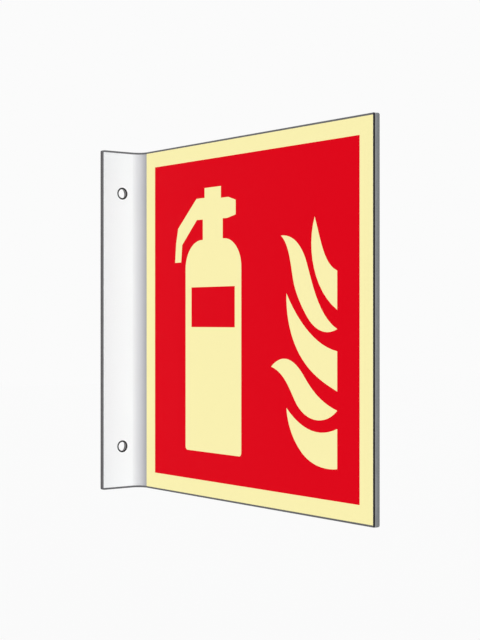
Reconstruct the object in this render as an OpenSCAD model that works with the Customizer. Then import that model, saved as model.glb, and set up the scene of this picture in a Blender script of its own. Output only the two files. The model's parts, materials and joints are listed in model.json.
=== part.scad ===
// Projecting fire extinguisher sign: one aluminium sheet, folded once at a right angle
// into a wall flange and a square sign panel, with a film and a print on each side of the panel.
// The wall is the plane y = 0. The panel stands out from it towards -Y, and +Z is up.
// The origin is on the wall, midway between the two screw holes.

/* [Sheet] */
// Side of the square sign panel, from the fold to its free edge, and height of the whole sheet
sign_size = 200; // [150:10:400]
// Thickness of the sheet
sheet_t = 4; // [1.5:0.5:5]
// Inner radius of the fold
fold_r = 6; // [2:0.5:10]
// Width of the wall flange, from its outer edge to the panel's near face
flange_w = 26; // [24:1:60]
// Width of the bevel that breaks the cut edges
edge_break = 0.6; // [0.2:0.1:0.7]

/* [Screw holes] */
// Diameter of a screw hole
hole_d = 6; // [4:0.5:8]
// Distance from the sheet's upper and lower edges to the holes' centres
hole_end = 25; // [12:1:60]
// Distance from the flange's outer edge to the holes' centres
hole_inset = 13; // [8:0.5:14]
// Width of the bevel round a hole's front rim
hole_break = 0.5; // [0.2:0.1:0.7]

/* [Film and print] */
// Thickness of the afterglow film
film_t = 0.3; // [0.1:0.05:0.5]
// Margin of bare coating between the film and the panel's edges
film_margin = 0.7; // [0.7:0.1:3]
// Thickness of the printed ink
ink_t = 0.1; // [0.05:0.05:0.2]
// Width of the border between the panel's edge and the red field
border_w = 10; // [5:0.5:20]

/* [Pictogram, as drawn for a red field of 180 mm] */
// Centre line of the extinguisher, from the field's left edge
bottle_x = 58; // [54:0.5:62]
// Width of the bottle
bottle_w = 53; // [44:0.5:58]
// Height of the bottle's foot above the field's lower edge
bottle_low = 16; // [10:0.5:25]
// Height of the bottle, from its foot to the top of its shoulders
bottle_h = 119; // [110:0.5:125]
// Radius of the shoulders
shoulder_r = 16; // [8:0.5:19]
// Radius of the corners at the bottle's foot
foot_r = 2; // [0.5:0.5:5]
// Width of the neck
neck_w = 19; // [15:0.5:22]
// Height of the neck between the shoulders and the valve
neck_h = 11; // [6:0.5:14]
// Width of the valve, from the hose's nozzle to the end of the opposite lever
valve_w = 58.5; // [50:0.5:64]
// Height of the valve, from the nozzle's mouth to the top of the levers
valve_h = 41; // [36:0.5:45]
// Width of the label
label_w = 41; // [20:0.5:43]
// Height of the label
label_h = 22.5; // [10:0.5:40]
// Height of the label's lower edge above the bottle's foot
label_low = 70; // [40:0.5:78]
// Right-hand edge of the flames, from the field's left edge
flame_right = 163.5; // [160:0.5:166]
// Margin between the flames and the field's right edge
flame_margin = 16.5; // [12:0.5:24]
// Width of the flames, from the leftmost tip to their right-hand edge
flame_w = 53; // [46:0.5:60]
// Height of the flames, from their foot to the highest tip
flame_h = 127.5; // [116:0.5:136]
// Height of the flames' foot above the field's lower edge
flame_low = 15; // [10:0.5:24]

/* [Hidden] */

// How far a cutter reaches past what it cuts, and one outline into the next
over = 1;
// Steps along each curve of the pictogram
curve_steps = 12;
// Facets of the fold and of the holes
round_facets = 96;

// Distance between the two holes, centre to centre
hole_pitch = sign_size - 2 * hole_end;

// The panel's two faces, the fold's end on the panel, and the panel's free edge
near_x = flange_w - hole_inset;
far_x = near_x + sheet_t;
fold_y = -(sheet_t + fold_r);
free_y = fold_y - sign_size;

film_size = sign_size - 2 * film_margin;
field = sign_size - 2 * border_w;

// How much the pictogram is enlarged from its drawing, which is as wide as the flames and their margin
enlarged = field / (flame_right + flame_margin);

// The valve with its levers, the hose and its nozzle, as one outline, drawn 56 wide and 41 high.
// Each point is measured from the bottle's centre line and from the neck's upper end.
drawn_valve = [56, 41];
valve_points = [
  [13, 0],
  [20.5, 1.5],
  [20.5, 9.5],
  [14, 11.5],
  [7.5, 11.5],
  [7.5, 18],
  [-7.5, 18],
  [-7.5, 12.5],
  [-15, 12.5],
  [-32.5, -3.5],
  [-34.5, -12],
  [-35.5, -23],
  [-29.5, -23],
  [-28.5, -13],
  [-14.5, 0.5]
];

// The five flames, from the top one down, drawn 58 wide and 127.5 high.
// Each point is measured from the foot of their right-hand edge.
// A flame is a closed path, and each part of it is a curve, as its two control points and
// its end, or a straight line, as its end alone.
drawn_flames = [58, 127.5];
blade_flame = [
  [[-26.5, 111], [-19.5, 89.5], [0, 80]],
  [[0, 99.5]],
  [[-11, 103], [-13.5, 114.5], [-19, 127.5]]
];
hook_flame = [
  [[-38, 119.5], [-31, 113.5], [-27, 106.5]],
  [[-22, 97], [-17, 77.5], [0, 70.5]],
  [[-9, 67], [-18.5, 69.5], [-25, 76]],
  [[-29.5, 80.5], [-36, 88.5], [-38, 96]],
  [[-40, 103], [-41.5, 114.5], [-49, 119]]
];
middle_flame = [
  [[-44.5, 74], [-38, 61], [-27, 52.5]],
  [[-20, 47], [-12, 43.5], [0, 39.5]],
  [[0, 59.5]],
  [[-16, 61.5], [-32, 72], [-44, 89]]
];
wave_flame = [
  [[-50, 56.5], [-40, 57], [-30, 48]],
  [[-23, 41], [-16, 34], [0, 30]],
  [[-9, 22.5], [-24, 22.5], [-33, 30]],
  [[-39.5, 35], [-43, 47], [-58, 50.5]]
];
low_flame = [
  [[-43, 20.5], [-38, 12.5], [-29.5, 6.5]],
  [[-22, 1.5], [-11, -0.5], [0, 1]],
  [[0, 21]],
  [[-14, 16], [-29, 17.5], [-44, 29.5]]
];
flames = [blade_flame, hook_flame, middle_flame, wave_flame, low_flame];

// A rectangle with its four corners cut off
function broken_rectangle(width, height, cut) = [
  [cut, 0],
  [width - cut, 0],
  [width, cut],
  [width, height - cut],
  [width - cut, height],
  [cut, height],
  [0, height - cut],
  [0, cut]
];

// The points of a circular arc
function arc(centre, r, from, to) = [
  for (i = [0 : curve_steps])
    let (a = from + (to - from) * i / curve_steps)
      centre + r * [cos(a), sin(a)]
];

// A point on a cubic curve from p to q, with control points c and d
function cubic(p, c, d, q, t) =
  pow(1 - t, 3) * p + 3 * pow(1 - t, 2) * t * c + 3 * (1 - t) * pow(t, 2) * d + pow(t, 3) * q;

// The points of one part of a path, without the point where it starts
function part_points(start, part) =
  len(part) == 1
    ? part
    : [for (i = [1 : curve_steps]) cubic(start, part[0], part[1], part[2], i / curve_steps)];

// The points of a closed path: each part starts where the one before it ended
function path_points(path) = [
  for (i = [0 : len(path) - 1])
    let (previous = path[(i + len(path) - 1) % len(path)])
      each part_points(previous[len(previous) - 1], path[i])
];

// Cross-section of the sheet: its thickness along X and its height along Y, from the near face
module sheet_section() {
  translate([0, -sign_size / 2])
    polygon(broken_rectangle(sheet_t, sign_size, edge_break));
}

// A flat leg of the sheet, along Z from its cut end, with that end's edges broken
module leg(length) {
  intersection() {
    linear_extrude(length)
      sheet_section();
    translate([0, sign_size / 2 + over, 0])
      rotate([90, 0, 0])
        linear_extrude(sign_size + 2 * over)
          polygon(broken_rectangle(sheet_t, length + over, edge_break));
  }
}

// The square panel that carries the sign
module panel() {
  translate([near_x, free_y, 0])
    mirror([0, 1, 0])
      rotate([90, 0, 0])
        leg(sign_size);
}

// The strip that lies against the wall
module flange() {
  translate([-hole_inset, -sheet_t, 0])
    rotate([90, 0, 90])
      leg(flange_w - fold_r);
}

// The quarter turn between the panel and the flange
module fold() {
  translate([near_x - fold_r, fold_y, 0])
    rotate_extrude(angle = 90, $fn = round_facets)
      translate([fold_r, 0])
        sheet_section();
}

// One screw hole, with a bevel round its front rim
module screw_hole() {
  rotate([90, 0, 0]) {
    translate([0, 0, -over])
      cylinder(h = sheet_t + 2 * over, d = hole_d, $fn = round_facets);
    translate([0, 0, sheet_t - hole_break])
      cylinder(
        h = hole_break + over,
        d1 = hole_d,
        d2 = hole_d + 2 * (hole_break + over),
        $fn = round_facets
      );
  }
}

module folded_plate() {
  color("#e6e8ea")
    difference() {
      union() {
        panel();
        fold();
        flange();
      }
      for (side = [-1, 1])
        translate([0, 0, side * hole_pitch / 2])
          screw_hole();
    }
}

// Lays a drawing on the panel's near face, raised by a height, as its reader sees it
module on_near_face(height) {
  translate([near_x - height, fold_y - sign_size / 2, 0])
    rotate([90, 0, -90])
      children();
}

// Lays a drawing on the panel's far face, raised by a height, as its reader sees it
module on_far_face(height) {
  translate([far_x + height, fold_y - sign_size / 2, 0])
    rotate([90, 0, 90])
      children();
}

module film() {
  color("#faf2b2")
    linear_extrude(film_t)
      square(film_size, center = true);
}

// Sets a drawing on the red field, measured from the field's lower left corner
module on_field() {
  translate([-field / 2, -field / 2])
    scale(enlarged)
      children();
}

// The bottle's outline, with round shoulders and a slightly rounded foot
module bottle() {
  left = bottle_x - bottle_w / 2;
  right = bottle_x + bottle_w / 2;
  top = bottle_low + bottle_h;
  polygon(concat(
    arc([left + foot_r, bottle_low + foot_r], foot_r, 180, 270),
    arc([right - foot_r, bottle_low + foot_r], foot_r, 270, 360),
    arc([right - shoulder_r, top - shoulder_r], shoulder_r, 0, 90),
    arc([left + shoulder_r, top - shoulder_r], shoulder_r, 90, 180)
  ));
}

// The neck, which reaches a little into the bottle and into the valve
module neck() {
  translate([bottle_x - neck_w / 2, bottle_low + bottle_h - over])
    square([neck_w, neck_h + 2 * over]);
}

// The valve with its levers and the hose
module valve() {
  translate([bottle_x, bottle_low + bottle_h + neck_h])
    scale([valve_w / drawn_valve.x, valve_h / drawn_valve.y])
      polygon(valve_points);
}

// The five flames, cut off along one upright line at their right
module fire() {
  translate([flame_right, flame_low])
    scale([flame_w / drawn_flames.x, flame_h / drawn_flames.y])
      for (flame = flames)
        polygon(path_points(flame));
}

module label() {
  translate([bottle_x - label_w / 2, bottle_low + label_low])
    square([label_w, label_h]);
}

// The red ink: a square field that leaves the extinguisher and the flames bare, and the label
module ink() {
  color("#dd081c")
    linear_extrude(ink_t) {
      difference() {
        square(field, center = true);
        on_field() {
          bottle();
          neck();
          valve();
          fire();
        }
      }
      on_field()
        label();
    }
}

module front_film() {
  on_near_face(0)
    film();
}

module front_print() {
  on_near_face(film_t)
    ink();
}

module back_film() {
  on_far_face(0)
    film();
}

module back_print() {
  on_far_face(film_t)
    ink();
}

folded_plate();
front_film();
front_print();
back_film();
back_print();
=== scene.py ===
# %% [markdown]
# # A projecting fire extinguisher sign
#
# The sign is one sheet of aluminium with a white coat, folded once: a narrow flange that is
# screwed to the wall, and a square panel that stands out into the room. Each side of the panel
# carries a pale afterglow film, and on the film a red print.
#
# The solids of all five pieces come packed, at their real size and place. This lesson gives
# each of them its finish, and makes again those whose edges and folds should catch the light.

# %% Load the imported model
import json
import math

import bmesh
import bpy
from mathutils import Matrix, Vector


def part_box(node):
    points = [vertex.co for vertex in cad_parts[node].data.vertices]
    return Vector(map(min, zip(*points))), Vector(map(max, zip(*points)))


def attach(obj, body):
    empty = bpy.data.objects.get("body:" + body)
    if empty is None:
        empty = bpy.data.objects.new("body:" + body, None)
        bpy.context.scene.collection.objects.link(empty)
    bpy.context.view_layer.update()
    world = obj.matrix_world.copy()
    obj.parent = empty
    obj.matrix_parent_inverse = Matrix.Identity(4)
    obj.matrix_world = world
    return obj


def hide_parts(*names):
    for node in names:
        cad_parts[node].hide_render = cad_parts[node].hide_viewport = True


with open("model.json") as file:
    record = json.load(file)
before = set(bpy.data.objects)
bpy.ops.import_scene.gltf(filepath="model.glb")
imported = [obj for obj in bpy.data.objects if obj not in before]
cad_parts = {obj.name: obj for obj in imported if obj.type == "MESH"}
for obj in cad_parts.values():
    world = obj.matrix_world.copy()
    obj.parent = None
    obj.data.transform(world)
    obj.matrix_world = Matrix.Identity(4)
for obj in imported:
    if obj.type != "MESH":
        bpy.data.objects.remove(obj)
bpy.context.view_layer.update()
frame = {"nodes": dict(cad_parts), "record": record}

print("pieces in the packed model:", sorted(frame["nodes"]))

# %% [markdown]
# ## Measures
#
# Nothing is measured twice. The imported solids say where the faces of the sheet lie, and the
# record says where the screws go. The panel is square, so its side is the height of the sheet,
# and what is left between the panel and the wall is the fold.

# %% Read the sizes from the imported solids
MM = 0.001
TOUCH = MM / 10  # what lies closer than this is on the same face

plate_low, plate_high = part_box("folded_plate")
film_low, film_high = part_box("front_film")

side = plate_high.z - plate_low.z
wall_y = plate_high.y
free_y = plate_low.y
flange_x = plate_low.x
far_x = plate_high.x
near_x = film_high.x
sheet = far_x - near_x
fold_y = free_y + side
fold_r = wall_y - sheet - fold_y
fold_centre = Vector((near_x - fold_r, fold_y, 0))

screws = next(m for m in frame["record"]["mounts"] if m["name"] == "wall_screws")
hole_r = screws["dims"]["hole_r_mm"] * MM
hole_pitch = screws["dims"]["spacing_y_mm"] * MM
hole_x = screws["pos_m"][0]
edge_break = film_low.z - plate_low.z

print(f"panel {side / MM:.0f} mm, sheet {sheet / MM:.1f} mm, fold radius {fold_r / MM:.1f} mm")
print(f"screw holes {2 * hole_r / MM:.1f} mm wide, {hole_pitch / MM:.0f} mm apart")
print(f"broken edges as wide as the margin round the film, {edge_break / MM:.1f} mm")

# %% [markdown]
# ## The sheet
#
# A press brake makes the real one from a flat blank. Here the section of the sheet, a narrow
# upright rectangle, starts at the flange's outer edge. It is pulled straight as far as the
# fold, spun through a quarter turn, and pulled straight again to the free edge. Spin keeps the
# thickness even round the fold, which a bevelled corner wouldn't. The section that spin leaves
# inside the sheet, where the panel begins, is taken out again. The panel starts with two short
# pulls, so that the shade of the fold has a place to end, out of sight under the film.

# %% Pull the section along the flange, round the fold and along the panel
FOLD_STEPS = 32


def pull(bm, face, move):
    """Extrudes an end face by a move, and returns the new end face."""
    made = bmesh.ops.extrude_face_region(bm, geom=[face])["geom"]
    verts = [v for v in made if isinstance(v, bmesh.types.BMVert)]
    bmesh.ops.translate(bm, vec=move, verts=verts)
    return next(f for f in made if isinstance(f, bmesh.types.BMFace))


def folded_sheet():
    """The whole sheet, with the fold and with square edges."""
    bm = bmesh.new()
    corners = [
        (flange_x, wall_y - sheet, plate_low.z),
        (flange_x, wall_y, plate_low.z),
        (flange_x, wall_y, plate_high.z),
        (flange_x, wall_y - sheet, plate_high.z),
    ]
    start = bm.faces.new([bm.verts.new(c) for c in corners])
    end = pull(bm, start, Vector((fold_centre.x - flange_x, 0, 0)))
    spun = bmesh.ops.spin(
        bm,
        geom=[end] + list(end.edges) + list(end.verts),
        cent=fold_centre,
        axis=(0, 0, 1),
        angle=-math.pi / 2,
        steps=FOLD_STEPS,
        use_merge=False,
        use_duplicate=False,
    )["geom_last"]
    end = next(f for f in spun if isinstance(f, bmesh.types.BMFace))
    for length in (edge_break, edge_break, side - 2 * edge_break):
        end = pull(bm, end, Vector((0, -length, 0)))
    inner = [f for f in bm.faces if all(len(e.link_faces) > 2 for e in f.edges)]
    bmesh.ops.delete(bm, geom=inner, context="FACES_ONLY")
    bmesh.ops.recalc_face_normals(bm, faces=bm.faces)
    return bm


sheet_bm = folded_sheet()
open_edges = [e for e in sheet_bm.edges if len(e.link_faces) != 2]
print(f"folded sheet: {len(sheet_bm.faces)} faces, {len(open_edges)} open edges")

# %% [markdown]
# ## Coat, cut edges and broken edges
#
# The sheet is coated before it is cut, so the two large faces are white and every cut shows
# the grey metal. The flange's outer end takes a darker copy of that metal, a painted shade for
# a face that turns away from the light, and so do the walls of the screw holes. Where a cut face
# meets a coated one, the edge is broken with a file, and that narrow bevel is the dark line round
# the sign. One material with a painted mask could show all this, but a material for each kind
# of face stays crisp at every edge. So each face is marked with its kind as soon as it exists.

# %% Mark the coated and the cut faces
COATED, CUT, SHADED_CUT, BROKEN, FILED, WORN = range(6)
LEANS = 0.3  # a face leans towards an axis when its normal has more than this along it


def kind_of(face):
    """The kind of a face of the folded sheet, before its edges are broken."""
    middle = face.calc_center_median()
    # The flange's end face takes the darker cut metal, a painted shade
    if abs(middle.x - flange_x) < TOUCH:
        return SHADED_CUT
    if abs(face.normal.z) > LEANS or abs(middle.y - free_y) < TOUCH:
        return CUT
    return COATED


for face in sheet_bm.faces:
    face.material_index = kind_of(face)

print("cut faces:", sum(f.material_index in (CUT, SHADED_CUT) for f in sheet_bm.faces))

# %% [markdown]
# ## Screw holes
#
# The holes are punched from the front after coating, with a punch just wide enough for the
# screw. Halfway through the sheet the metal breaks out, so the hole grows wider towards the
# wall. A turn of a deburring tool leaves a ring of bare metal round the front rim, hardly
# deeper on its inner side and as dark as the edges. A boolean with a cylinder would make a
# plain bore. Here both flat faces of the flange are filled again round circles, and bridges
# from circle to circle make the wall, so that each rim keeps its own radius.

# %% Punch the two screw holes
HOLE_SEGMENTS = 64
PUNCH_R = hole_r - 0.4 * MM
RING_R = hole_r + 0.55 * MM
RING_DEPTH = 0.1 * MM
BREAKOUT = 0.8 * MM
front_y = wall_y - sheet


def flange_face(bm, y):
    """The flat face of the flange at this distance from the wall."""
    for face in bm.faces:
        middle = face.calc_center_median()
        flat = abs(middle.y - y) < TOUCH and middle.x < fold_centre.x
        if flat and face.material_index == COATED:
            return face


def circle(bm, y, z, radius):
    """The edges of a circle round a hole's axis."""
    place = Matrix.Translation((hole_x, y, z)) @ Matrix.Rotation(math.pi / 2, 4, "X")
    made = bmesh.ops.create_circle(
        bm, cap_ends=False, radius=radius, segments=HOLE_SEGMENTS, matrix=place
    )
    return list(dict.fromkeys(e for v in made["verts"] for e in v.link_edges))


def fill_again(bm, y, circles):
    """Replaces a flat face of the flange by one that leaves these circles open."""
    face = flange_face(bm, y)
    border = list(face.edges)
    bmesh.ops.delete(bm, geom=[face], context="FACES_ONLY")
    around = border + [e for edges in circles for e in edges]
    bmesh.ops.triangle_fill(bm, use_beauty=True, use_dissolve=False, edges=around)


# The rims of a hole from the front to the wall: place, radius and kind of the wall before it
levels = [
    (front_y, RING_R, None),
    (front_y + RING_DEPTH, PUNCH_R, BROKEN),
    # the walls of the hole take the darker cut metal, a painted shade
    (front_y + sheet / 2, hole_r, SHADED_CUT),
    (wall_y, hole_r + BREAKOUT, SHADED_CUT),
]
rims = [
    [circle(sheet_bm, y, z, radius) for y, radius, kind in levels]
    for z in (-hole_pitch / 2, hole_pitch / 2)
]
fill_again(sheet_bm, front_y, [hole[0] for hole in rims])
fill_again(sheet_bm, wall_y, [hole[-1] for hole in rims])
for hole in rims:
    for rim, next_rim, (y, radius, kind) in zip(hole, hole[1:], levels[1:]):
        for face in bmesh.ops.bridge_loops(sheet_bm, edges=rim + next_rim)["faces"]:
            face.material_index = kind

bmesh.ops.recalc_face_normals(sheet_bm, faces=sheet_bm.faces)
open_edges = [e for e in sheet_bm.edges if len(e.link_faces) != 2]
print(f"punched sheet: {len(sheet_bm.faces)} faces, {len(open_edges)} open edges")

# %% [markdown]
# ## Broken edges
#
# Nothing that is handled stays knife sharp, so one narrow bevel of two facets runs along every
# sharp edge. A bevel modifier could make it too, but the operator hands back the faces that it
# makes, and each can be told its kind. Along the free end's upright edges they are dark, where
# the blade smeared the metal, and across its two short ends they are as clean as the cut. Along
# the top and the bottom of the sheet they are filed lighter. At the flange's outer end the coat
# wraps round the front corner, and is worn through only on the outer facet.

# %% Break the edges
SHARP = math.radians(60)
DIGITS = 7  # the bevel's last digits can differ from run to run, so metres are rounded here


def near_a_hole(edge):
    """True for the edges round a screw hole, which the deburring tool has already broken."""
    middle = (edge.verts[0].co + edge.verts[1].co) / 2
    reach = hole_r + BREAKOUT + TOUCH
    return math.hypot(middle.x - hole_x, abs(middle.z) - hole_pitch / 2) < reach


sharp = [e for e in sheet_bm.edges if e.calc_face_angle(0) > SHARP and not near_a_hole(e)]
broken = bmesh.ops.bevel(
    sheet_bm,
    geom=sharp,
    offset=edge_break,
    offset_type="OFFSET",
    affect="EDGES",
    segments=2,
    profile=0.5,
    material=-1,
)


def kind_of_bevel(face):
    """The kind of one narrow face along a broken edge."""
    middle = face.calc_center_median()
    if abs(face.normal.z) > LEANS:
        if middle.y > free_y + edge_break:
            return FILED
        return BROKEN if face.normal.x < -LEANS else CUT
    if middle.x < flange_x + sheet / 2 and middle.y < wall_y - sheet / 2:
        return WORN if abs(face.normal.x) > abs(face.normal.y) else COATED
    return BROKEN


for face in broken["faces"]:
    face.material_index = kind_of_bevel(face)
for vert in sheet_bm.verts:
    vert.co = Vector([round(c, DIGITS) for c in vert.co])

print(f"broken edges: {len(broken['faces'])} narrow faces")

# %% [markdown]
# The upper and lower edges are filed more on the near side: there their bevels reach further
# down the face than into the thickness. Whatever lies in that narrow rim, the film's edge too,
# is stretched away from the sheet's end. A small rule tells how deep in the sheet a point lies,
# along the flange, round the fold and along the panel, and it serves the finishes as well.

# %% Stretch the near rims at the top and at the bottom
RIM_STRETCH = 1.7
MIDDLE = 0.5  # of the sheet's thickness


def depth(point):
    """0 on the near face of the sheet, 1 on its far face."""
    if point.y < fold_centre.y:
        return (point.x - near_x) / sheet
    if point.x < fold_centre.x:
        return (point.y - wall_y + sheet) / sheet
    arm = Vector((point.x - fold_centre.x, point.y - fold_centre.y))
    return (arm.length - fold_r) / sheet


def stretch_rims(bm):
    """Stretches the near rims along the sheet's upper and lower ends."""
    reach = edge_break + TOUCH
    near = [v for v in bm.verts if depth(v.co) < MIDDLE]
    for end in (plate_low.z, plate_high.z):
        verts = [v for v in near if abs(v.co.z - end) < reach]
        pivot = Matrix.Translation((0, 0, -end))
        bmesh.ops.scale(bm, vec=(1, 1, RIM_STRETCH), space=pivot, verts=verts)


stretch_rims(sheet_bm)
print(f"near bevels at the top and the bottom {edge_break * RIM_STRETCH / MM:.2f} mm high")

# %% Finish the mesh of the sheet
def shade_evenly(piece):
    """Smooth shading that leaves large flat faces flat."""
    piece.data.shade_smooth()
    piece.data.set_sharp_from_angle(angle=SHARP)
    even = piece.modifiers.new("even_shading", "WEIGHTED_NORMAL")
    even.mode = "FACE_AREA"
    even.keep_sharp = True


def finished(bm, name, node):
    """Makes a piece of a mesh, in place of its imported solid."""
    mesh = bpy.data.meshes.new(name)
    bm.to_mesh(mesh)
    bm.free()
    piece = bpy.data.objects.new(name, mesh)
    bpy.context.scene.collection.objects.link(piece)
    shade_evenly(piece)
    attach(piece, "root")
    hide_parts(node)
    return piece


plate = finished(sheet_bm, "coated_sheet", "folded_plate")
print("coated_sheet:", len(plate.data.polygons), "faces")

# %% [markdown]
# ## Film and ink
#
# The film is cut a little smaller than the panel, and the ink lies on it as a thin raised
# layer with the extinguisher and the flames left open. Both shapes are right as packed, but
# their edges are knife sharp. A merged copy of each gets a hair of a bevel instead, which is
# all that a cut film and a dried ink have.

# %% Copy the films and the prints with softened edges
FILM_EDGE = 0.06 * MM
INK_EDGE = 0.02 * MM
SAME_POINT = MM / 1000
FLAT = math.radians(0.5)


def softened(node, name, radius):
    """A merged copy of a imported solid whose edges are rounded."""
    bm = bmesh.new()
    bm.from_mesh(frame["nodes"][node].data)
    bmesh.ops.remove_doubles(bm, verts=bm.verts, dist=SAME_POINT)
    bmesh.ops.dissolve_limit(bm, angle_limit=FLAT, verts=bm.verts, edges=bm.edges)
    rim = [e for e in bm.edges if e.calc_face_angle(0) > SHARP]
    bmesh.ops.bevel(
        bm,
        geom=rim,
        offset=radius,
        offset_type="OFFSET",
        affect="EDGES",
        segments=2,
        profile=0.5,
        material=-1,
    )
    stretch_rims(bm)
    open_count = sum(len(e.link_faces) != 2 for e in bm.edges)
    print(f"{name}: {len(bm.faces)} faces, {open_count} open edges")
    return finished(bm, name, node)


films = [
    softened("front_film", "front_afterglow_film", FILM_EDGE),
    softened("back_film", "back_afterglow_film", FILM_EDGE),
]
prints = [
    softened("front_print", "front_red_print", INK_EDGE),
    softened("back_print", "back_red_print", INK_EDGE),
]

# %% [markdown]
# ## A clean white flange
#
# The red and yellow of the panel would throw a coloured glow on the white flange beside it,
# and a clean product picture has none. Ray visibility takes it away: the films and the prints
# are hidden from the rays that carry soft light from face to face, and from shadow rays, so
# that the white sheet behind them is lit and gives the flange its own white back. The sheet
# still casts the sign's whole shadow.

# %% Take the coloured glow off the flange
for piece in films + prints:
    piece.visible_diffuse = False
    piece.visible_shadow = False
    print(piece.name, "throws no glow")

# %% [markdown]
# ## A small kit for finishes
#
# Every finish here is one Principled shader, with noise that reads Object coordinates, so that
# the grain has its true size in metres. What is the same all over is set on the shader itself,
# and only what varies comes in through nodes. Noise seldom leaves the middle of its span, so
# that middle is stretched to the two ends of what it drives.

# %% Turn a colour as it is seen into a shader's values
def colour(code):
    """A colour as it is seen on a screen, such as "dd081c", in the linear values of a shader."""
    parts = [int(code[i : i + 2], 16) / 255 for i in (0, 2, 4)]
    linear = [p / 12.92 if p <= 0.04045 else ((p + 0.055) / 1.055) ** 2.4 for p in parts]
    return (*linear, 1.0)


print("middle grey in a shader's values:", round(colour("808080")[0], 3))

# %% Helpers for finishes
NOISE_LOW, NOISE_HIGH = 0.3, 0.7


class Finish:
    """A material under construction: its nodes, its links and its Principled shader."""

    def __init__(self, name, roughness=0.5, metallic=0.0, specular=0.5):
        self.material = bpy.data.materials.new(name)
        self.material.use_nodes = True
        self.nodes = self.material.node_tree.nodes
        self.links = self.material.node_tree.links
        self.shader = self.nodes["Principled BSDF"]
        self.shader.inputs["Roughness"].default_value = roughness
        self.shader.inputs["Metallic"].default_value = metallic
        self.shader.inputs["Specular IOR Level"].default_value = specular
        self.place = self.nodes.new("ShaderNodeTexCoord").outputs["Object"]

    def noise(self, grain, detail=2.0, stretch=(1, 1, 1)):
        """Noise whose grains are about this size, in metres, and longer where stretch is more."""
        mapping = self.nodes.new("ShaderNodeMapping")
        mapping.inputs["Scale"].default_value = [1 / s for s in stretch]
        self.links.new(self.place, mapping.inputs["Vector"])
        noise = self.nodes.new("ShaderNodeTexNoise")
        noise.inputs["Scale"].default_value = 1 / grain
        noise.inputs["Detail"].default_value = detail
        self.links.new(mapping.outputs["Vector"], noise.inputs["Vector"])
        return noise.outputs["Fac"]

    def between(self, value, low, high, from_low=NOISE_LOW, from_high=NOISE_HIGH):
        """Stretches a value to run from low to high."""
        spread = self.nodes.new("ShaderNodeMapRange")
        ends = {"From Min": from_low, "From Max": from_high, "To Min": low, "To Max": high}
        for socket, number in ends.items():
            spread.inputs[socket].default_value = number
        self.links.new(value, spread.inputs["Value"])
        return spread.outputs["Result"]

    def mixed(self, value, first, second):
        """The first colour where the value is 0, the second where it is 1."""
        mix = self.nodes.new("ShaderNodeMix")
        mix.data_type = "RGBA"
        factor, first_colour, second_colour = (mix.inputs[i] for i in (0, 6, 7))
        for socket, tint in ((first_colour, first), (second_colour, second)):
            if isinstance(tint, tuple):
                socket.default_value = tint
            else:
                self.links.new(tint, socket)
        self.links.new(value, factor)
        mixed_colour = mix.outputs[2]
        return mixed_colour

    def attribute(self, name):
        """A value that the mesh holds at each of its points."""
        node = self.nodes.new("ShaderNodeAttribute")
        node.attribute_name = name
        return node.outputs["Fac"]

    def set(self, socket, value):
        """Feeds a socket of the shader with what varies."""
        self.links.new(value, self.shader.inputs[socket])

    def bump(self, *layers):
        """Raises the surface by layers of (value, height in metres)."""
        normal = None
        for value, height in layers:
            node = self.nodes.new("ShaderNodeBump")
            node.inputs["Distance"].default_value = height
            self.links.new(value, node.inputs["Height"])
            if normal:
                self.links.new(normal, node.inputs["Normal"])
            normal = node.outputs["Normal"]
        self.set("Normal", normal)


# %% [markdown]
# ## White coat
#
# Powder coat melts into a hard white skin with a faint orange peel, waves about 1.5 mm long
# and about a hundredth of a millimetre high. In the fold the coat is painted darker: a painted
# shade for the inner corner. A straight gradient would cut across the bend, so how far the
# sheet has turned is kept on the mesh instead, as a value from 0 on the flange to 1 at the
# panel, on the inner side alone. Under the film the coat is white again. On the near side the
# flange is painted lighter towards the fold, a painted highlight, and the far side is an even
# white.

# %% Say how much painted shade each point of the fold gets, and how deep in the sheet it lies
SHADE_RISE = 0.8


def painted_fold_shade(point):
    """The painted shade of the fold: 0 on the flange, 1 at the panel, on the sheet's near side.
    """
    arm = Vector((point.x - fold_centre.x, point.y - fold_centre.y))
    under_film = point.y < fold_y - 1.5 * edge_break
    if point.x < fold_centre.x or under_film or arm.length > fold_r + sheet / 2:
        return 0.0
    turned = min(1.0, 1 - math.atan2(arm.y, arm.x) / (math.pi / 2))
    return turned**SHADE_RISE


for name, rule in (("painted_fold_shade", painted_fold_shade), ("depth", depth)):
    values = [rule(v.co) for v in plate.data.vertices]
    plate.data.attributes.new(name, "FLOAT", "POINT").data.foreach_set("value", values)
    print(f"{name}: {len(values)} values, up to {max(values):.2f}")

# %% Make the white coat
# The near side of the flange runs from a duller white at its outer end to a lighter one at the
# fold: a painted highlight
FLANGE_END_WHITE = colour("e0e1e2")
PAINTED_HIGHLIGHT_WHITE = colour("f4f5f6")
FAR_WHITE = colour("ebecee")
POWDER_WHITE = colour("edeeef")
# Painted shade for the inside of the fold, half way and at the panel
PAINTED_HALF_SHADE = colour("d2d2d4")
PAINTED_FULL_SHADE = colour("a0a0a4")
HALF_SHADE_AT = 0.4
POWDER_SHARE = 0.4
POWDER = 0.8 * MM
PEEL = 1.5 * MM
PEEL_HEIGHT = 0.012 * MM


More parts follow.
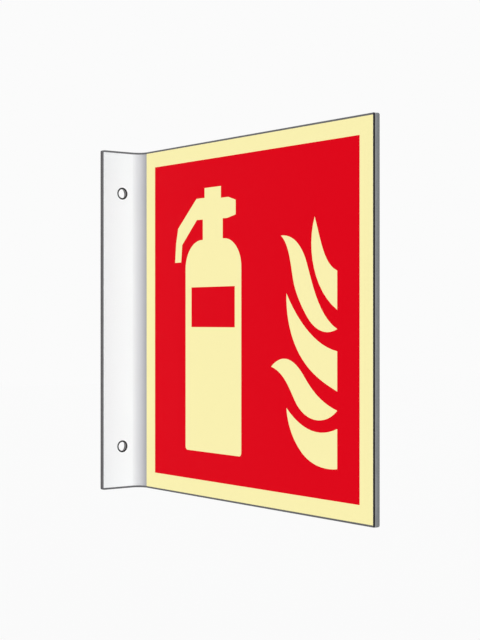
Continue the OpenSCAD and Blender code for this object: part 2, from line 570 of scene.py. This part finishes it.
def white_coat():
    """Powder coat, with painted shade in the fold and a painted highlight on the flange towards
    the fold.
    """
    coat = Finish("white_coat", specular=0.3)
    split = coat.nodes.new("ShaderNodeSeparateXYZ")
    coat.links.new(coat.place, split.inputs[0])
    inward = coat.between(split.outputs["X"], 0.0, 1.0, flange_x, fold_centre.x)
    near_side = coat.mixed(inward, FLANGE_END_WHITE, PAINTED_HIGHLIGHT_WHITE)
    both_sides = coat.mixed(coat.attribute("depth"), near_side, FAR_WHITE)
    fine = coat.between(coat.noise(POWDER), 0.0, POWDER_SHARE)
    white = coat.mixed(fine, both_sides, POWDER_WHITE)
    fold_shade = coat.attribute("painted_fold_shade")
    early = coat.between(fold_shade, 0.0, 1.0, 0.0, HALF_SHADE_AT)
    late = coat.between(fold_shade, 0.0, 1.0, HALF_SHADE_AT, 1.0)
    half_shaded = coat.mixed(early, white, PAINTED_HALF_SHADE)
    coat.set("Base Color", coat.mixed(late, half_shaded, PAINTED_FULL_SHADE))
    coat.set("Roughness", coat.between(coat.noise(4 * PEEL), 0.38, 0.48))
    coat.bump((coat.noise(PEEL), PEEL_HEIGHT), (coat.noise(PEEL / 5), PEEL_HEIGHT / 4))
    return coat.material


coat_finish = white_coat()
print(coat_finish.name, "has", len(coat_finish.node_tree.nodes), "nodes")

# %% [markdown]
# ## Cut metal
#
# Shears leave two bands on a cut edge: a burnished one where the blade went in, and a rougher,
# darker one where the metal tore. Fine lines run through both, across the sheet. The depth that
# the mesh holds tells the two bands apart.

# %% Make the cut metal
BURNISHED_TO, TORN_FROM = 0.3, 0.45  # where the bands end and start, as shares of the depth
BAND_WANDER = 0.08
BAND_WAVE = 4 * MM
STREAK = 0.25 * MM
STREAK_STRETCH = 8
STREAK_DEPTH = 0.01 * MM


def cut_metal(name, burnished, torn):
    """Bare metal, with two tones for its burnished band and two for its torn one."""
    metal = Finish(name, metallic=1.0)
    wander = metal.between(metal.noise(BAND_WAVE), -BAND_WANDER, BAND_WANDER)
    place = metal.nodes.new("ShaderNodeMath")
    metal.links.new(metal.attribute("depth"), place.inputs[0])
    metal.links.new(wander, place.inputs[1])
    band = metal.between(place.outputs[0], 0.0, 1.0, BURNISHED_TO, TORN_FROM)
    across = (STREAK_STRETCH, STREAK_STRETCH, 1)
    streak = metal.between(metal.noise(STREAK, stretch=across), 0.0, 1.0)
    smooth_tone = metal.mixed(streak, *(colour(code) for code in burnished))
    torn_tone = metal.mixed(streak, *(colour(code) for code in torn))
    metal.set("Base Color", metal.mixed(band, smooth_tone, torn_tone))
    metal.set("Roughness", metal.between(band, 0.38, 0.6, 0.0, 1.0))
    metal.bump((streak, STREAK_DEPTH))
    return metal.material


fresh_cut = cut_metal("fresh_cut", ("8d8f91", "97999b"), ("838688", "8e9193"))
# A darker copy of the cut metal, painted shade for the flange's end and the hole walls
shaded_cut = cut_metal("shaded_cut", ("6e6c6d", "777576"), ("676566", "706e6f"))
print("bare metal:", fresh_cut.name, "and", shaded_cut.name)

# %% [markdown]
# The narrow bevels are not worth two bands. Each is one rough tone, mottled with a second one:
# nearly black where a blade smeared it, and lighter where a file or a hand went along it.

# %% Make the narrow edges
MOTTLE = 1.2 * MM
FILE_MARK = 0.4 * MM
FILE_MARK_DEPTH = 0.01 * MM


def narrow_edge(name, dark, light):
    """A narrow bevel, mottled between two tones."""
    edge = Finish(name, roughness=0.7, specular=0.05)
    worn = edge.between(edge.noise(MOTTLE, detail=4), 0.0, 1.0)
    edge.set("Base Color", edge.mixed(worn, colour(dark), colour(light)))
    edge.bump((edge.noise(FILE_MARK), FILE_MARK_DEPTH))
    return edge.material


broken_edge = narrow_edge("broken_edge", "222123", "302f31")
filed_edge = narrow_edge("filed_edge", "5e5e60", "6c6c6e")
worn_edge = narrow_edge("worn_edge", "6c6c6e", "787779")
print("narrow edges:", broken_edge.name, filed_edge.name, worn_edge.name)

# %% [markdown]
# ## Afterglow film
#
# The film is a clear carrier full of pale yellow crystals, which store daylight. Close up it
# is grainy, with a faint sheen on top. Two noises colour it: a fine one mixes two close yellows
# for the crystals, and a wide one clouds them a little, so that a large even field doesn't look
# like plastic. The crystals and a slow wave raise it by a few thousandths of a millimetre.

# %% Make the afterglow film
CRYSTAL = 0.35 * MM
CRYSTAL_HEIGHT = 0.004 * MM
FILM_CLOUD = 25 * MM
FILM_WAVE = 2.5 * MM
FILM_WAVE_HEIGHT = 0.006 * MM


def afterglow_film():
    """Pale yellow film with a grain of crystals."""
    film = Finish("pale_film", specular=0.04)
    grain = film.between(film.noise(CRYSTAL, detail=3), 0.0, 1.0)
    cloud = film.between(film.noise(FILM_CLOUD), 0.0, 1.0)
    crystals = film.mixed(grain, colour("f4ebab"), colour("f9f0b1"))
    film.set("Base Color", film.mixed(cloud, crystals, colour("f7eeae")))
    film.set("Roughness", film.between(grain, 0.46, 0.56, 0.0, 1.0))
    film.bump((grain, CRYSTAL_HEIGHT), (film.noise(FILM_WAVE), FILM_WAVE_HEIGHT))
    return film.material


film_finish = afterglow_film()
print(film_finish.name, "has", len(film_finish.node_tree.nodes), "nodes")

# %% [markdown]
# ## Red ink
#
# Screen ink dries to an even satin skin. The mesh of the screen leaves a barely raised grain.
# It is built as the film is, from a fine noise and a wide one, with tones that lie closer
# together, because ink covers better than crystals do.

# %% Make the red ink
SCREEN_MESH = 0.5 * MM
SCREEN_MESH_HEIGHT = 0.004 * MM
INK_CLOUD = 30 * MM


def red_ink():
    """Screen ink, an even red with a barely raised grain."""
    ink = Finish("screen_red", specular=0.02)
    grain = ink.between(ink.noise(SCREEN_MESH, detail=3), 0.0, 1.0)
    cloud = ink.between(ink.noise(INK_CLOUD), 0.0, 1.0)
    body = ink.mixed(grain, colour("d90015"), colour("dd0017"))
    ink.set("Base Color", ink.mixed(cloud, body, colour("db0016")))
    ink.set("Roughness", ink.between(grain, 0.44, 0.54, 0.0, 1.0))
    ink.bump((grain, SCREEN_MESH_HEIGHT))
    return ink.material


ink_finish = red_ink()
print(ink_finish.name, "has", len(ink_finish.node_tree.nodes), "nodes")

# %% [markdown]
# ## Each piece gets its finish
#
# The sheet takes six materials, in the order of its kinds of faces, so that the number on a
# face picks the right one. A film or a print takes one.

# %% Give each piece its finish
for finish in (coat_finish, fresh_cut, shaded_cut, broken_edge, filed_edge, worn_edge):
    plate.data.materials.append(finish)
print(plate.name, "has", len(plate.data.materials), "finishes")

for piece, finish in [(f, film_finish) for f in films] + [(p, ink_finish) for p in prints]:
    piece.data.materials.clear()
    piece.data.materials.append(finish)
    print(piece.name, "is finished as", finish.name)

# %% [markdown]
# ## Room
#
# The sign hangs well above a pale floor. The world around it is the same pale tone for every
# ray that looks at it or mirrors it, and lights the sign with less than that.

# %% Make the world
BACKDROP = colour("fbfbfb")
WORLD_LIGHT = 0.74


def seen(nodes, links):
    """1 for rays that look at the background or mirror it, 0 for rays that light a piece."""
    path = nodes.new("ShaderNodeLightPath")
    total = path.outputs["Is Camera Ray"]
    for kind in ("Is Glossy Ray", "Is Transmission Ray"):
        either = nodes.new("ShaderNodeMath")
        either.operation = "MAXIMUM"
        links.new(total, either.inputs[0])
        links.new(path.outputs[kind], either.inputs[1])
        total = either.outputs[0]
    return total


def make_world():
    """A world that looks like the backdrop and lights the sign with a plain white."""
    world = bpy.data.worlds.new("pale_room")
    world.use_nodes = True
    nodes, links = world.node_tree.nodes, world.node_tree.links
    light = nodes["Background"]
    light.inputs["Color"].default_value = (1, 1, 1, 1)
    light.inputs["Strength"].default_value = WORLD_LIGHT
    backdrop = nodes.new("ShaderNodeBackground")
    backdrop.inputs["Color"].default_value = BACKDROP
    mix = nodes.new("ShaderNodeMixShader")
    links.new(seen(nodes, links), mix.inputs["Fac"])
    links.new(light.outputs[0], mix.inputs[1])
    links.new(backdrop.outputs[0], mix.inputs[2])
    links.new(mix.outputs[0], nodes["World Output"].inputs["Surface"])
    bpy.context.scene.world = world


make_world()
print("world:", bpy.context.scene.world.name)

# %% [markdown]
# The floor is painted pale and glows a little for the camera, so that it meets the backdrop
# without a line and still keeps the sign's shadow.

# %% Lay the floor
FLOOR_DROP = 1.0
FLOOR_SIDE = 40.0
FLOOR_PAINT = colour("e6e6e6")
FLOOR_GLOW = 0.9


def make_floor():
    """A wide pale floor below the sign."""
    bm = bmesh.new()
    place = Matrix.Translation((0, free_y / 2, plate_low.z - FLOOR_DROP))
    bmesh.ops.create_grid(bm, x_segments=1, y_segments=1, size=FLOOR_SIDE / 2, matrix=place)
    mesh = bpy.data.meshes.new("floor")
    bm.to_mesh(mesh)
    bm.free()
    floor = bpy.data.objects.new("floor", mesh)
    bpy.context.scene.collection.objects.link(floor)
    material = bpy.data.materials.new("pale_floor")
    material.use_nodes = True
    nodes, links = material.node_tree.nodes, material.node_tree.links
    paint = nodes["Principled BSDF"]
    paint.inputs["Base Color"].default_value = FLOOR_PAINT
    paint.inputs["Roughness"].default_value = 0.9
    glow = nodes.new("ShaderNodeEmission")
    glow.inputs["Color"].default_value = BACKDROP
    share = nodes.new("ShaderNodeMath")
    share.operation = "MULTIPLY"
    share.inputs[1].default_value = FLOOR_GLOW
    mix = nodes.new("ShaderNodeMixShader")
    links.new(seen(nodes, links), share.inputs[0])
    links.new(share.outputs[0], mix.inputs["Fac"])
    links.new(paint.outputs[0], mix.inputs[1])
    links.new(glow.outputs[0], mix.inputs[2])
    links.new(mix.outputs[0], nodes["Material Output"].inputs["Surface"])
    mesh.materials.append(material)


make_floor()
print(f"floor {FLOOR_SIDE:.0f} m wide, {FLOOR_DROP:.0f} m below the sign")

# %% [markdown]
# ## Lamps
#
# Two broad suns, like softboxes far away, keep the light even from one end of the panel to
# the other. The main one stands a little above the reader, the other lights the back. A third,
# weak one shines on the flange from straight in front, along the panel, and hardly touches
# the panel itself. All three are white, so that every colour shows as it is written.

# %% Hang the lamps
MAIN_AZIMUTH = -46
SIDE_LAMP = {"elevation": 30, "strength": 1.1, "softness": 40}


def sun(name, azimuth, elevation, strength, softness):
    """A sun that shines from this azimuth and elevation, in degrees; azimuth 0 is in front."""
    lamp = bpy.data.lights.new(name, "SUN")
    lamp.energy = strength
    lamp.angle = math.radians(softness)
    holder = bpy.data.objects.new(name, lamp)
    a, e = math.radians(azimuth), math.radians(elevation)
    towards = Vector((math.sin(a) * math.cos(e), -math.cos(a) * math.cos(e), math.sin(e)))
    holder.rotation_mode = "QUATERNION"
    holder.rotation_quaternion = towards.to_track_quat("Z", "Y")
    bpy.context.scene.collection.objects.link(holder)
    print(f"{name}: azimuth {azimuth}, elevation {elevation}, strength {strength}")


sun("main_light", MAIN_AZIMUTH, **SIDE_LAMP)
sun("back_light", MAIN_AZIMUTH + 180, **SIDE_LAMP)
sun("front_light", azimuth=-3, elevation=5, strength=0.22, softness=15)

# %% [markdown]
# ## Camera
#
# The picture is taken at the height of the sign's middle, from in front and to the left, so
# that the upright edges stay upright. The lens and the place were found from the sign itself:
# how high its two ends look, and where the flange, the fold and the free end lie across the
# picture.

# %% Set up the camera
IMAGE_HEIGHT = 640
FOCAL_PIXELS = 1386
SENSOR = 36.0
CAMERA_PLACE = Vector((-0.4388, -0.7035, 0))
CAMERA_AZIMUTH = math.radians(36.95)

lens = bpy.data.cameras.new("camera")
lens.sensor_width = SENSOR
lens.lens = FOCAL_PIXELS * SENSOR / IMAGE_HEIGHT
camera = bpy.data.objects.new("camera", lens)
camera.location = CAMERA_PLACE
camera.rotation_euler = (math.pi / 2, 0, -CAMERA_AZIMUTH)
bpy.context.scene.collection.objects.link(camera)
bpy.context.scene.camera = camera
bpy.context.scene.view_settings.view_transform = "Standard"
print(f"lens {lens.lens:.1f} mm, {camera.location.length:.2f} m from the screws")
